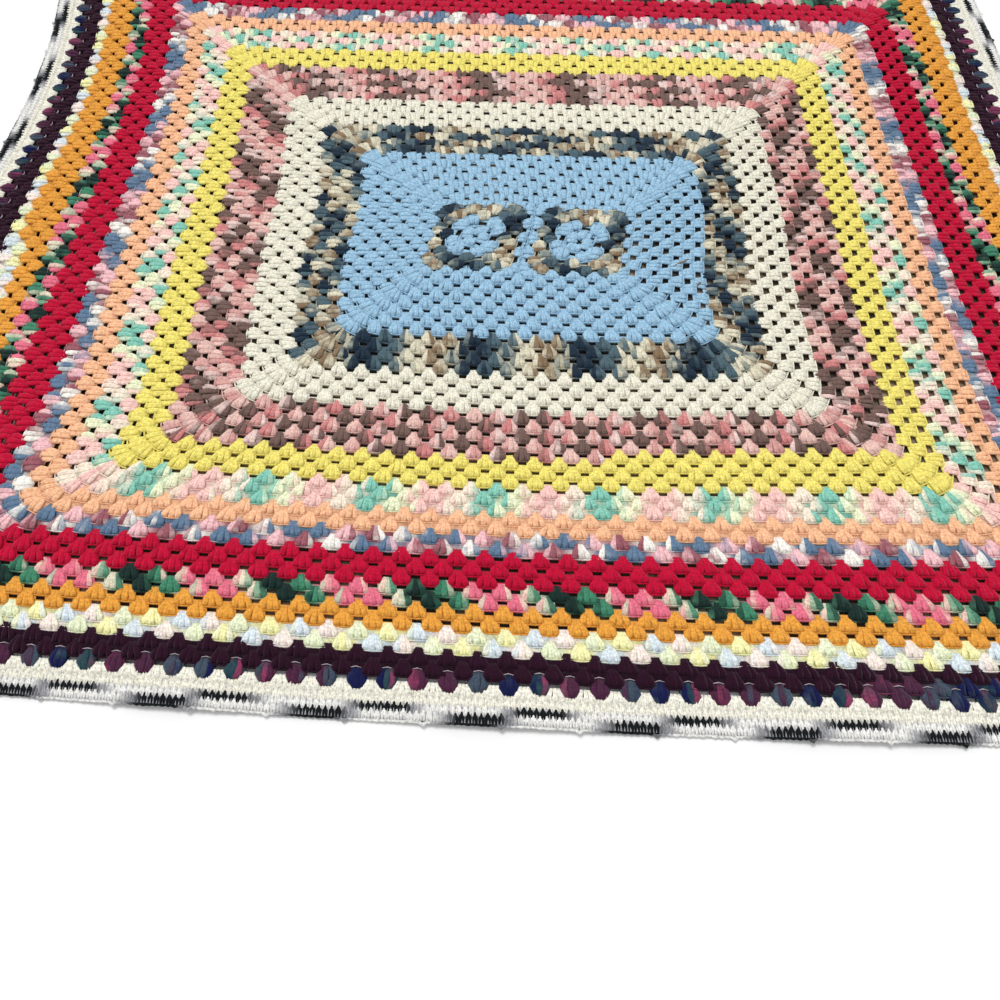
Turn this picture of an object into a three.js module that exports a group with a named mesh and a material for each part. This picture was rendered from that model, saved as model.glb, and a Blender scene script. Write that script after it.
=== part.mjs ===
// A crocheted granny afghan, spread out to lie on a flat surface.
//
// Two granny squares are sewn side by side. Rounds of three-stitch clusters are then worked
// outwards around the pair, and a dense edging finishes the outside. Each piece is one thin sheet
// with the true outline in which the cloth lies: it has crept out of square, its left side sways,
// and low swells lift it a few millimetres.
//
// Units are millimetres. +X runs along the long side, +Y across the short side and +Z up. The
// origin is the middle of the underside of the whole afghan.
import * as THREE from "three";

// Gauge of the crochet.
const CLUSTER_PITCH = 25; // from one cluster to the next along a round
const ROUND_HEIGHT = CLUSTER_PITCH / 2;
const THICKNESS = 4.5; // worsted yarn in double crochet

// Rounds, counted outwards from the middle of a square.
const SQUARE_ROUNDS = 4;
const LAST_ROUND = 46;
const EDGING_DEPTH = 33;
const PIECE_GAP = 0.4;

// Fineness of the faceted sheets.
const SQUARE_CELLS = 6;
const ROUNDS_PER_RING = 6;
const LONG_SIDE_CELLS = 32;
const SHORT_SIDE_CELLS = 28;

// The rounds grow outwards from a pair of squares, so every round is wider than it is deep by the
// same amount. Both sizes are of the outer edge of a round, from the middle of the afghan.
const SQUARE_HALF = (SQUARE_ROUNDS + 1) * ROUND_HEIGHT;
const halfDepth = (round) => (round + 1) * ROUND_HEIGHT;
const halfWidth = (round) => halfDepth(round) + SQUARE_HALF;
const OUTER_WIDTH = halfWidth(LAST_ROUND) + EDGING_DEPTH;
const OUTER_DEPTH = halfDepth(LAST_ROUND) + EDGING_DEPTH;

// How far the spread cloth has crept from a true rectangle. A station is named by its place
// across the width and along the depth, and x and y are how far the cloth there has moved.
const CREEP = [
  { across: -1, along: -1, x: 0, y: 90 },
  { across: -1, along: 0, x: 0, y: 25 },
  { across: -1, along: 1, x: 0, y: 0 },
  { across: 0, along: -1, x: 0, y: 40 },
  { across: 0, along: 0, x: 0, y: 0 },
  { across: 0, along: 1, x: 0, y: 10 },
  { across: 1, along: -1, x: 45, y: 20 },
  { across: 1, along: 0, x: 5, y: 10 },
  { across: 1, along: 1, x: -5, y: 0 },
];

// The left side bends in towards the far end and out towards the near end.
const LEFT_SWAY = { starts: 0.25, reach: 30, turns: 0.53 };

// The outermost corners are drawn in.
const CORNER_EASE = { length: 90, pull: 9 };

// Low swells: the middle of each, how far it spreads and how high it lifts the cloth.
const SWELLS = [
  { x: -560, y: -300, spreadX: 130, spreadY: 170, rise: 7 },
  { x: -600, y: 60, spreadX: 90, spreadY: 140, rise: 5 },
  { x: -520, y: 430, spreadX: 150, spreadY: 150, rise: 8 },
  { x: -330, y: -590, spreadX: 120, spreadY: 80, rise: 5 },
  { x: -40, y: -600, spreadX: 140, spreadY: 70, rise: 4 },
  { x: 270, y: -585, spreadX: 130, spreadY: 85, rise: 6 },
  { x: 590, y: -420, spreadX: 100, spreadY: 150, rise: 6 },
  { x: 610, y: -40, spreadX: 90, spreadY: 160, rise: 7 },
  { x: 560, y: 360, spreadX: 120, spreadY: 140, rise: 5 },
  { x: 180, y: 590, spreadX: 170, spreadY: 80, rise: 7 },
  { x: -210, y: 580, spreadX: 150, spreadY: 90, rise: 5 },
];

// The weight of a station at -1, 0 or 1 on a parabola through all three.
function stationWeight(station, t) {
  if (station === 0) return 1 - t * t;
  return (t * (t + station)) / 2;
}

// The point of the underside for a place on the cloth, measured in millimetres from its middle
// along the width (w) and the depth (d).
function surfacePoint([w, d]) {
  const across = w / OUTER_WIDTH;
  const along = d / OUTER_DEPTH;
  const point = new THREE.Vector3(w, d, 0);
  for (const station of CREEP) {
    const weight = stationWeight(station.across, across) * stationWeight(station.along, along);
    point.x += weight * station.x;
    point.y += weight * station.y;
  }
  const sway = Math.max(0, (-across - LEFT_SWAY.starts) / (1 - LEFT_SWAY.starts));
  point.x += LEFT_SWAY.reach * sway * Math.sin(2 * Math.PI * LEFT_SWAY.turns * along);
  const nearSide = Math.max(0, 1 - (OUTER_WIDTH - Math.abs(w)) / CORNER_EASE.length);
  const nearEnd = Math.max(0, 1 - (OUTER_DEPTH - Math.abs(d)) / CORNER_EASE.length);
  point.x -= Math.sign(w) * CORNER_EASE.pull * nearSide * nearEnd;
  point.y -= Math.sign(d) * CORNER_EASE.pull * nearSide * nearEnd;
  for (const swell of SWELLS) {
    const far = ((w - swell.x) / swell.spreadX) ** 2 + ((d - swell.y) / swell.spreadY) ** 2;
    if (far < 1) point.z += swell.rise * (1 - far) ** 2;
  }
  return point;
}

// A closed sheet of even thickness over rows of places on the cloth. The rows follow one another
// outwards or towards +X, and the places in a row run anticlockwise or towards +Y. A wrapped sheet
// joins the last place of each row to its first.
function sheetGeometry(rows, wrapped) {
  const perRow = rows[0].length;
  const under = rows.flat().map(surfacePoint);
  const positions = [];
  for (const point of under) positions.push(point.x, point.y, point.z + THICKNESS);
  for (const point of under) positions.push(point.x, point.y, point.z);
  const top = (row, place) => row * perRow + (place % perRow);
  const bottom = (row, place) => under.length + top(row, place);
  const faces = [];
  const quad = (a, b, c, d) => faces.push(a, b, c, a, c, d);
  const lastRow = rows.length - 1;
  const steps = wrapped ? perRow : perRow - 1;
  for (let place = 0; place < steps; place++) {
    const next = place + 1;
    for (let row = 0; row < lastRow; row++) {
      quad(top(row, place), top(row + 1, place), top(row + 1, next), top(row, next));
      quad(bottom(row, place), bottom(row, next), bottom(row + 1, next), bottom(row + 1, place));
    }
    quad(bottom(lastRow, place), bottom(lastRow, next), top(lastRow, next), top(lastRow, place));
    quad(bottom(0, place), top(0, place), top(0, next), bottom(0, next));
  }
  if (!wrapped) {
    for (let row = 0; row < lastRow; row++) {
      quad(bottom(row, steps), top(row, steps), top(row + 1, steps), bottom(row + 1, steps));
      quad(bottom(row, 0), bottom(row + 1, 0), top(row + 1, 0), top(row, 0));
    }
  }
  const geometry = new THREE.BufferGeometry();
  geometry.setAttribute("position", new THREE.Float32BufferAttribute(positions, 3));
  geometry.setIndex(faces);
  geometry.computeVertexNormals();
  return geometry;
}

// Places round a rectangle of the cloth, anticlockwise from its near left corner.
function ring(width, depth) {
  const sides = [
    { cells: LONG_SIDE_CELLS, at: (t) => [t * width, -depth] },
    { cells: SHORT_SIDE_CELLS, at: (t) => [width, t * depth] },
    { cells: LONG_SIDE_CELLS, at: (t) => [-t * width, depth] },
    { cells: SHORT_SIDE_CELLS, at: (t) => [-width, -t * depth] },
  ];
  const places = [];
  for (const side of sides) {
    for (let cell = 0; cell < side.cells; cell++) {
      places.push(side.at((2 * cell) / side.cells - 1));
    }
  }
  return places;
}

// A granny square: a grid of places between two ends along the width.
function squareRows(from, to) {
  const rows = [];
  for (let i = 0; i <= SQUARE_CELLS; i++) {
    const w = from + ((to - from) * i) / SQUARE_CELLS;
    const row = [];
    for (let j = 0; j <= SQUARE_CELLS; j++) {
      row.push([w, SQUARE_HALF * ((2 * j) / SQUARE_CELLS - 1)]);
    }
    rows.push(row);
  }
  return rows;
}

// The rounds worked around both squares, as rings of a few rounds each.
function roundsRows() {
  const rows = [ring(halfWidth(SQUARE_ROUNDS) + PIECE_GAP, halfDepth(SQUARE_ROUNDS) + PIECE_GAP)];
  for (let n = SQUARE_ROUNDS + ROUNDS_PER_RING; n <= LAST_ROUND; n += ROUNDS_PER_RING) {
    rows.push(ring(halfWidth(n), halfDepth(n)));
  }
  return rows;
}

// The edging outside the last round.
function edgingRows() {
  const inner = PIECE_GAP;
  const middle = EDGING_DEPTH / 2;
  return [inner, middle, EDGING_DEPTH].map((out) =>
    ring(halfWidth(LAST_ROUND) + out, halfDepth(LAST_ROUND) + out),
  );
}

function yarnMaterial(color) {
  return new THREE.MeshStandardMaterial({ color, roughness: 0.9, metalness: 0 });
}

function piece(name, geometry, material) {
  const mesh = new THREE.Mesh(geometry, material);
  mesh.name = name;
  return mesh;
}

const BLUE_YARN = yarnMaterial(0x8fb8de);
const ROSE_YARN = yarnMaterial(0xd98f92);
const WHITE_YARN = yarnMaterial(0xf1eee0);

const leftSquare = squareRows(-2 * SQUARE_HALF, -PIECE_GAP / 2);
const rightSquare = squareRows(PIECE_GAP / 2, 2 * SQUARE_HALF);

const afghan = new THREE.Group();
afghan.add(
  piece("square_left", sheetGeometry(leftSquare, false), BLUE_YARN),
  piece("square_right", sheetGeometry(rightSquare, false), BLUE_YARN),
  piece("granny_rounds", sheetGeometry(roundsRows(), true), ROSE_YARN),
  piece("edging", sheetGeometry(edgingRows(), true), WHITE_YARN),
);

// The creep leaves the cloth a little off its own middle, so the whole afghan is set back on it.
const box = new THREE.Box3().setFromObject(afghan);
const middle = box.getCenter(new THREE.Vector3());
afghan.position.set(-middle.x, -middle.y, -box.min.z);

export default afghan;
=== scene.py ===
"""A crochet afghan lying flat on a pale floor.

Two small granny squares are sewn side by side. Rectangular rounds of three-stitch clusters run round them in
bands of yarn, and a close-stitched edging with a dashed black and white border finishes the edge.
Every piece is laid on the same eased surface as the solids of the frame. All lengths are in metres.
"""

import math

import bpy
import numpy as np
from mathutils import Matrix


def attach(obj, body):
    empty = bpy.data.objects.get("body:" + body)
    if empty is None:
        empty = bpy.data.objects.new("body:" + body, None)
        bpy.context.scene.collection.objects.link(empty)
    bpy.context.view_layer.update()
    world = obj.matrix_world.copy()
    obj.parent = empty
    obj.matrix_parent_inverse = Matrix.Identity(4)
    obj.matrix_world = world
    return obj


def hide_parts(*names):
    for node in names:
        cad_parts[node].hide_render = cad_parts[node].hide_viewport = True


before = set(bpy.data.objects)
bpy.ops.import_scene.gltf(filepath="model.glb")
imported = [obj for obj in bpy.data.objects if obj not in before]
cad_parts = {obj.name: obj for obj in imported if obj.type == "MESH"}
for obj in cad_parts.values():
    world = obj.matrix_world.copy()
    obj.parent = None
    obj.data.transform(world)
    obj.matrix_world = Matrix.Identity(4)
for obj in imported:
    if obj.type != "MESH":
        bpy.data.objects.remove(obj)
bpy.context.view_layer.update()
draw = np.random.default_rng(46)
scene = bpy.context.scene

MM = 0.001
TINY = 1e-12  # keeps a division away from zero


def mm(*values):
    """Measures in millimetres as an array in metres."""
    return np.array(values) * MM


def strays(size, *shape):
    """Random amounts of this usual size."""
    return size * draw.standard_normal(shape)


def fitted(shape, *arrays):
    """Each of the arrays, repeated to fit the shape."""
    return [np.broadcast_to(a, shape) for a in arrays]


def new_object(name, data):
    """A new object of the scene."""
    made = bpy.data.objects.new(name, data)
    scene.collection.objects.link(made)
    return made


# ---- The afghan's measures, as in the frame ----

PITCH = 25 * MM  # from one cluster to the next along a round
HEIGHT = PITCH / 2  # one round, from its inner to its outer edge
SQUARE_ROUNDS = 5
LAST_ROUND = 47
# How many more clusters the long side of a rectangular round has than the short side.
EXTRA_CLUSTERS = SQUARE_ROUNDS
EDGING_DEPTH = 33 * MM
SQUARE_HALF = SQUARE_ROUNDS * HEIGHT
# Half the size of the rounds and of the whole afghan. Depth is towards the viewer and width to the side.
ROUNDS_DEPTH = LAST_ROUND * HEIGHT
ROUNDS_WIDTH = ROUNDS_DEPTH + SQUARE_HALF
OUTER_DEPTH = ROUNDS_DEPTH + EDGING_DEPTH
OUTER_WIDTH = ROUNDS_WIDTH + EDGING_DEPTH

# How far, in millimetres, the cloth has crept from its flat shape at nine stations: the left side, the middle
# and the right side, each from near to far.
STATIONS = (-1, 0, 1)
CREEP = [
    [(0, 90), (0, 25), (0, 0)],
    [(0, 40), (0, 0), (0, 10)],
    [(45, 20), (5, 10), (-5, 0)],
]
SWAY_START = 0.25
SWAY_REACH = 30 * MM
SWAY_TURNS = 0.53
CORNER_LENGTH = 90 * MM
CORNER_PULL = 9 * MM
# Points along each side of the solids' outer edge.
LONG_SIDE_POINTS = 33
SHORT_SIDE_POINTS = 29
# Low swells of the cloth: place, spread and rise, in millimetres.
SWELLS = [
    (-560, -300, 130, 170, 7),
    (-600, 60, 90, 140, 5),
    (-520, 430, 150, 150, 8),
    (-330, -590, 120, 80, 5),
    (-40, -600, 140, 70, 4),
    (270, -585, 130, 85, 6),
    (590, -420, 100, 150, 6),
    (610, -40, 90, 160, 7),
    (560, 360, 120, 140, 5),
    (180, 590, 170, 80, 7),
    (-210, 580, 150, 90, 5),
]


def station_weight(station, t):
    """Weight of the station at -1, 0 or 1 for a point at t between -1 and 1."""
    if station == 0:
        return 1 - t * t
    return t * (t + station) / 2


def ease(points):
    """Points (width, depth, height above the cloth's underside) on the cloth as it lies, before centring."""
    w, d = points[..., 0], points[..., 1]
    across, along = w / OUTER_WIDTH, d / OUTER_DEPTH
    x, y, z = w.copy(), d.copy(), points[..., 2].copy()
    for a, column in zip(STATIONS, CREEP):
        for b, (dx, dy) in zip(STATIONS, column):
            weight = station_weight(a, across) * station_weight(b, along)
            x += weight * dx * MM
            y += weight * dy * MM
    sway = np.maximum(0, (-across - SWAY_START) / (1 - SWAY_START))
    x += SWAY_REACH * sway**2 * np.sin(2 * math.pi * SWAY_TURNS * along)
    near_side = np.maximum(0, 1 - (OUTER_WIDTH - np.abs(w)) / CORNER_LENGTH)
    near_end = np.maximum(0, 1 - (OUTER_DEPTH - np.abs(d)) / CORNER_LENGTH)
    pull = CORNER_PULL * near_side * near_end
    x -= np.sign(w) * pull
    y -= np.sign(d) * pull
    for sx, sy, spread_x, spread_y, rise in SWELLS:
        far = ((w - sx * MM) / (spread_x * MM)) ** 2 + ((d - sy * MM) / (spread_y * MM)) ** 2
        z += rise * MM * np.maximum(0, 1 - far) ** 2
    return np.stack([x, y, z], -1)


def outline_centre():
    """Middle of the eased outer edge's box, which the frame puts at its origin."""
    rim = [(x, y, 0) for x in np.linspace(-1, 1, LONG_SIDE_POINTS) for y in (-1, 1)]
    rim += [(x, y, 0) for x in (-1, 1) for y in np.linspace(-1, 1, SHORT_SIDE_POINTS)]
    eased = ease(np.array(rim) * (OUTER_WIDTH, OUTER_DEPTH, 0))
    return (eased.min(0) + eased.max(0)) / 2


CENTRE = outline_centre() * (1, 1, 0)

# The work is uneven: the middle of the cloth has slipped left, the near side has sagged towards the viewer,
# and the squares have sheared and moved the other way.
MIDDLE_SLIP = 0.6 * HEIGHT
CENTRE_SHEAR = 0.27
SHEAR_REACH = 8.5 * HEIGHT
SHEAR_WIDTH = 2.5 * SHEAR_REACH
NEAR_SAG = 0.84 * HEIGHT
SAG_PLACE = 21 * HEIGHT
SAG_REACH = 10 * HEIGHT
SAG_WIDTH = 2 * SAG_REACH
# How much wider the outer rounds lie in the middle of the near side, and how much of it falls to the left.
NEAR_STRETCH = 0.076
LEFT_STRETCH = 0.04
STRETCH_FROM, STRETCH_TO = 18 * HEIGHT, 39 * HEIGHT
# The slip turns back to the right near that edge.
NEAR_RETURN = 1.5
RETURN_FROM, RETURN_TO = 30 * HEIGHT, 48 * HEIGHT
CENTRE_MOVE = 0.4 * HEIGHT
CENTRE_TURN = 0.06
CENTRE_REACH = 9 * HEIGHT


def smooth_step(value, start, end):
    """Rises smoothly from 0 at the start to 1 at the end."""
    reached = np.clip((value - start) / (end - start), 0, 1)
    return reached**2 * (3 - 2 * reached)


def lean(points):
    """Points of the evenly worked cloth where the uneven work has left them."""
    w, d = points[..., 0], points[..., 1]
    side = w / OUTER_WIDTH
    slip = MIDDLE_SLIP * (1 - side**2)
    slip *= 1 - NEAR_RETURN * smooth_step(-d, RETURN_FROM, RETURN_TO)
    shear = CENTRE_SHEAR * d * np.exp(-((d / SHEAR_REACH) ** 2))
    near_centre = np.exp(-(w**2 + d**2) / CENTRE_REACH**2)
    moved = points.copy()
    moved[..., 0] += shear * np.exp(-((w / SHEAR_WIDTH) ** 2)) - slip
    stretch = NEAR_STRETCH * w * (1 - side**4) - LEFT_STRETCH * w * side * (1 - side**2)
    moved[..., 0] += stretch * smooth_step(-d, STRETCH_FROM, STRETCH_TO)
    sag = NEAR_SAG * np.exp(-(((d + SAG_PLACE) / SAG_REACH) ** 2) - (w / SAG_WIDTH) ** 2)
    moved[..., 1] += (CENTRE_MOVE - CENTRE_TURN * w) * near_centre - sag
    return moved


def lay(points):
    """Points of the flat cloth at their place in the frame."""
    return ease(lean(points)) - CENTRE


# ---- From the stitch lattice to the flat cloth ----

# A round is set out on a lattice first: round n stands on a ring n heights from the middle, and its n
# clusters fill each side. On the cloth the ring is one height smaller, because the two clusters at a corner
# share one hole.
CORNER_SHARE = 0.5  # width that a corner cluster's outer half keeps at its foot
# Outer edge of each round of a square, in heights, after the ring of its centre hole.
SQUARE_RINGS = [0, 0.45, 1.45, 2.55, 3.4, 4.25, 5.0]
SWIRL = math.radians(45)  # a square's centre has turned this far against its edge
SWIRL_REACH = 4 * HEIGHT
JOIN_GAP = 0.9 * MM  # each square stops this far short of the join


def drawn_in(place, length):
    """Place on a side, from its middle, with the end clusters drawn to the corners. length is half of it."""
    along = np.abs(place)
    cell = np.minimum(HEIGHT, length / 2)
    inner = np.maximum(length - cell, TINY)
    kept = along * (length - CORNER_SHARE * cell) / inner
    return np.sign(place) * np.where(along <= inner, kept, length - CORNER_SHARE * (length - along))


def rounds_cloth(points):
    """Lattice points of the rectangular rounds on the flat cloth."""
    x, y = points[..., 0], points[..., 1]
    ring = np.maximum(np.maximum(np.abs(y), np.abs(x) - SQUARE_HALF), HEIGHT)
    wide = ring + SQUARE_HALF
    placed = points.copy()
    placed[..., 0] = drawn_in(x, wide) * (wide - HEIGHT) / wide
    placed[..., 1] = drawn_in(y, ring) * (ring - HEIGHT) / ring
    return placed


def square_cloth(points, side):
    """Lattice points of a square, counted from its own middle, on the flat cloth.

    side is -1 for the left square and 1 for the right one.
    """
    x, y = points[..., 0], points[..., 1]
    ring = np.maximum(np.maximum(np.abs(x), np.abs(y)), TINY)
    steps = HEIGHT * np.arange(len(SQUARE_RINGS))
    scale = np.interp(ring, steps, np.array(SQUARE_RINGS) * HEIGHT) / ring
    flat_x, flat_y = drawn_in(x, ring) * scale, drawn_in(y, ring) * scale
    radius = np.hypot(flat_x, flat_y)
    turn = -SWIRL * np.maximum(0, 1 - radius / SWIRL_REACH) ** 2
    placed = points.copy()
    placed[..., 0] = flat_x * np.cos(turn) - flat_y * np.sin(turn)
    placed[..., 1] = flat_x * np.sin(turn) + flat_y * np.cos(turn)
    towards_join = np.maximum(0, -side * placed[..., 0] / SQUARE_HALF)
    placed[..., 0] += side * (SQUARE_HALF + JOIN_GAP * towards_join**4)
    return placed


# ---- Yarns ----


def linear(hex_colour):
    """Linear colour of a written sRGB colour."""
    srgb = np.array([int(hex_colour[i : i + 2], 16) / 255 for i in (1, 3, 5)])
    return np.where(srgb <= 0.04045, srgb / 12.92, ((srgb + 0.055) / 1.055) ** 2.4)


# Each yarn is its run of colours and how many clusters each colour lasts. One entry is a plain yarn.
YARNS = {
    "blue": [("#a2c9e3", 1)],
    "camo": [
        ("#1f3142", 1.2), ("#536a74", 1.1), ("#a9ada0", 0.4), ("#e6dfc6", 0.9),
        ("#8c745a", 0.7), ("#d8cfb4", 0.4), ("#7c8c8c", 0.3),
    ],
    "cream": [("#f3efdd", 1)],
    "pink_brown": [("#785f58", 1.75), ("#d88c8a", 0.8), ("#efc8be", 1.2), ("#dba29c", 0.6), ("#f2d6cf", 0.5)],
    "yellow": [("#f9ea7c", 1)],
    "pastel": [("#8ccfbc", 1.1), ("#f8fbd6", 0.9), ("#ffd2ca", 1.4), ("#fff0dc", 1.0)],
    "peach": [("#ffc69c", 1)],
    "denim": [("#a0606b", 1.0), ("#fffaf2", 0.9), ("#68829e", 1.9), ("#fac8cc", 1.0)],
    "red": [("#c60537", 1)],
    "green": [
        ("#17302b", 1.2), ("#458a6c", 0.9), ("#f0e6cc", 0.3),
        ("#ec7890", 1.7), ("#f0e6cc", 0.5), ("#64a484", 0.4),
    ],
    "mustard": [("#eea744", 1)],
    "pale": [("#fff0e6", 1), ("#f0f7d4", 1), ("#fffbba", 1), ("#e2eef4", 1)],
    "purple": [("#2a051f", 1)],
    "dark": [("#10174a", 1.1), ("#2c4a52", 0.6), ("#8c3a5e", 0.6), ("#4e2440", 1.8), ("#445262", 0.9)],
    "white": [("#fbf8ea", 1)],
    "dashed": [("#12181b", 8.4), ("#a8a8ac", 2.0), ("#f7f6f2", 12.0), ("#a8a8ac", 2.0)],
}

# The bands from the inside out: yarn, the round where it is joined on, how many clusters of that round are
# made by then, where the yarn's run of colours stands, and how far it has moved on a round later.
BANDS = [
    ("blue", 6, 0, 0, 0),
    ("camo", 13, 0, -0.5, -0.4),
    ("cream", 17, 0, 0, 0),
    ("pink_brown", 21, 0, -1.9, 2.1),
    ("yellow", 25, 98, 0, 0),
    ("pastel", 29, 0, -1.0, -0.4),
    ("peach", 32, 0, 0, 0),
    ("denim", 34, 0, -7.5, 2.0),
    ("red", 36, 0, 0, 0),
    ("green", 39, 0, 3.6, 4.0),
    ("mustard", 41, 0, 0, 0),
    ("pale", 43, 114, 0.5, 1.0),
    ("purple", 45, 0, 0, 0),
    ("dark", 46, 179, 1.3, 0),
]
# The squares' rounds: yarn, and where its run stands as the round starts in the left and in the right square.
SQUARE_BANDS = [
    ("blue", 0, 0),
    ("blue", 0, 0),
    ("camo", 0.8, 1.5),
    ("camo", -0.6, -0.6),
    ("blue", 0, 0),
]
BLEND = 0.22  # how far one colour runs into the next, in clusters
# How far the colour of one stitch strays along the run, in clusters.
STRAY = {"camo": 0.24, "pink_brown": 0.16, "denim": 0.2, "dark": 0.3, "pale": 0.1}
PLAIN_STRAY = 0.12
# How far the run drifts on the three sides away from the viewer, in clusters, and how fast.
WANDER = 0.8
WANDER_STEP = 0.17
WANDER_ROUND = 2.4


def yarn_colour(yarn, place, blend=BLEND):
    """Colour of a yarn at a place along it, counted in clusters."""
    run = YARNS[yarn]
    colours = np.array([linear(c) for c, _ in run])
    if len(run) == 1:
        return np.broadcast_to(colours[0], np.shape(place) + (3,)).copy()
    lengths = np.array([length for _, length in run])
    ends = np.cumsum(lengths)
    place = np.mod(place, ends[-1])
    which = np.minimum(np.searchsorted(ends, place, side="right"), len(run) - 1)
    into = place - (ends[which] - lengths[which])
    left = ends[which] - place
    before = np.clip(0.5 - into / (2 * blend), 0, 0.5)[..., None]
    after = np.clip(0.5 - left / (2 * blend), 0, 0.5)[..., None]
    here = colours[which]
    return (
        here * (1 - before - after)
        + colours[(which - 1) % len(run)] * before
        + colours[(which + 1) % len(run)] * after
    )


# ---- Materials ----

# Painted shade: the colour is darker by this share in the dent between two strands.
DENT_PAINTED_SHADE = 0.2  # how much darker the dent between two strands is
DENT_HALF = 0.09  # half the dent's width, as a share of the way round the yarn
DENT_WANDER = 0.1
# How much plies, fibres and patches of tone darken and lighten the yarn, and how fine they are. The plies'
# darker bands are painted shade between the plies; fibres and tone are the yarn's own.
PLY_PAINTED_SHADE = 0.06
PLY_SCALE = 0.7
FIBRE_SHADE = 0.18
FIBRE_SCALE = 1400
TONE_LOW, TONE_HIGH = 0.76, 1.16
TONE_SCALE = 420
# Depth of each layer of relief, and how strongly it shows.
DENT_RELIEF = (0.6 * MM, 0.5)
PLY_RELIEF = (0.5 * MM, 0.12)
FIBRE_RELIEF = (0.35 * MM, 0.3)


class Finish:
    """A material under construction."""

    def __init__(self, name):
        self.material = bpy.data.materials.new(name)
        self.material.use_nodes = True
        self.shader = self.material.node_tree.nodes["Principled BSDF"]

    def fill(self, node, inputs):
        """Sets a node's inputs, by name or number, to values or to other nodes' outputs."""
        for name, value in inputs.items():
            if isinstance(value, bpy.types.NodeSocket):
                self.material.node_tree.links.new(value, node.inputs[name])
            else:
                node.inputs[name].default_value = value

    def add(self, kind, inputs):
        """A new node with these inputs."""
        node = self.material.node_tree.nodes.new("ShaderNode" + kind)
        self.fill(node, inputs)
        return node

    def scaled(self, value, low, high, start=0.0, end=1.0):
        """The value, mapped from start..end to low..high."""
        ends = {"From Min": start, "From Max": end, "To Min": low, "To Max": high}
        return self.add("MapRange", {"Value": value, **ends}).outputs["Result"]

    def combined(self, operation, a, b):
        """Two values as one."""
        node = self.add("Math", {0: a, 1: b})
        node.operation = operation
        return node.outputs["Value"]

    def noise(self, vector, scale, detail):
        """Noise of this scale at a vector."""
        return self.add("TexNoise", {"Vector": vector, "Scale": scale, "Detail": detail}).outputs["Fac"]

    def bumped(self, height, relief, below=None):
        """The normal with the height's relief on it, and on the relief below it."""
        distance, strength = relief
        node = self.add("Bump", {"Height": height, "Distance": distance, "Strength": strength})
        if below is not None:
            self.fill(node, {"Normal": below})
        return node.outputs["Normal"]


def yarn_material(name, dent_painted_shade=DENT_PAINTED_SHADE):
    """Soft acrylic yarn: the mesh holds its colour, the nodes add a dent, plies, fibres and tone. The dent
    and the plies' bands darken the colour as painted shade.
    """
    finish = Finish(name)
    colour = finish.add("Attribute", {})
    colour.attribute_name = "yarn"
    strand = finish.add("UVMap", {})
    strand.uv_map = "strand"
    place = strand.outputs["UV"]
    object_place = finish.add("TexCoord", {}).outputs["Object"]

    # Plies: bands that run round the strand at a slant.
    twist = finish.add("TexWave", {"Vector": place, "Scale": PLY_SCALE, "Distortion": 1.2, "Detail": 1.0})
    twist.wave_type = "BANDS"
    twist.bands_direction = "DIAGONAL"
    plies = twist.outputs["Fac"]

    # The dent along the top, between the two strands that a stitch lays side by side. Its darker colour is
    # painted shade.
    round_yarn = finish.add("SeparateXYZ", {"Vector": place}).outputs["Y"]
    from_top = finish.combined("PINGPONG", round_yarn, 0.5)
    wander = finish.scaled(finish.noise(place, 1.8, 2), -DENT_WANDER, DENT_WANDER, 0.25, 0.75)
    dent = finish.scaled(finish.combined("ADD", from_top, wander), 0.0, 1.0, 0.0, DENT_HALF)

    fibres = finish.noise(object_place, FIBRE_SCALE, 3)
    tone_shade = finish.scaled(finish.noise(object_place, TONE_SCALE, 2), TONE_LOW, TONE_HIGH, 0.3, 0.7)
    shade = finish.scaled(fibres, 1 - FIBRE_SHADE, 1 + FIBRE_SHADE)
    # Painted shade: the plies' bands darken the colour between the plies.
    ply_painted_shade = finish.scaled(plies, 1 - PLY_PAINTED_SHADE, 1 + PLY_PAINTED_SHADE / 3)
    # Painted shade: the dent darkens the colour where the two strands meet. Fibres and tone are the yarn's
    # own.
    for other in (tone_shade, ply_painted_shade, finish.scaled(dent, 1 - dent_painted_shade, 1.0)):
        shade = finish.combined("MULTIPLY", shade, other)
    painted = finish.add("VectorMath", {0: colour.outputs["Color"]})
    painted.operation = "SCALE"
    finish.fill(painted, {"Scale": shade})

    normal = finish.bumped(dent, DENT_RELIEF)
    normal = finish.bumped(plies, PLY_RELIEF, normal)
    normal = finish.bumped(fibres, FIBRE_RELIEF, normal)
    finish.fill(finish.shader, {"Base Color": painted.outputs["Vector"], "Normal": normal})
    soft = {"Roughness": 0.9, "Specular IOR Level": 0.15, "Sheen Weight": 0.06, "Sheen Roughness": 0.5}
    finish.fill(finish.shader, soft)
    return finish.material


# ---- Meshes ----


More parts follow.
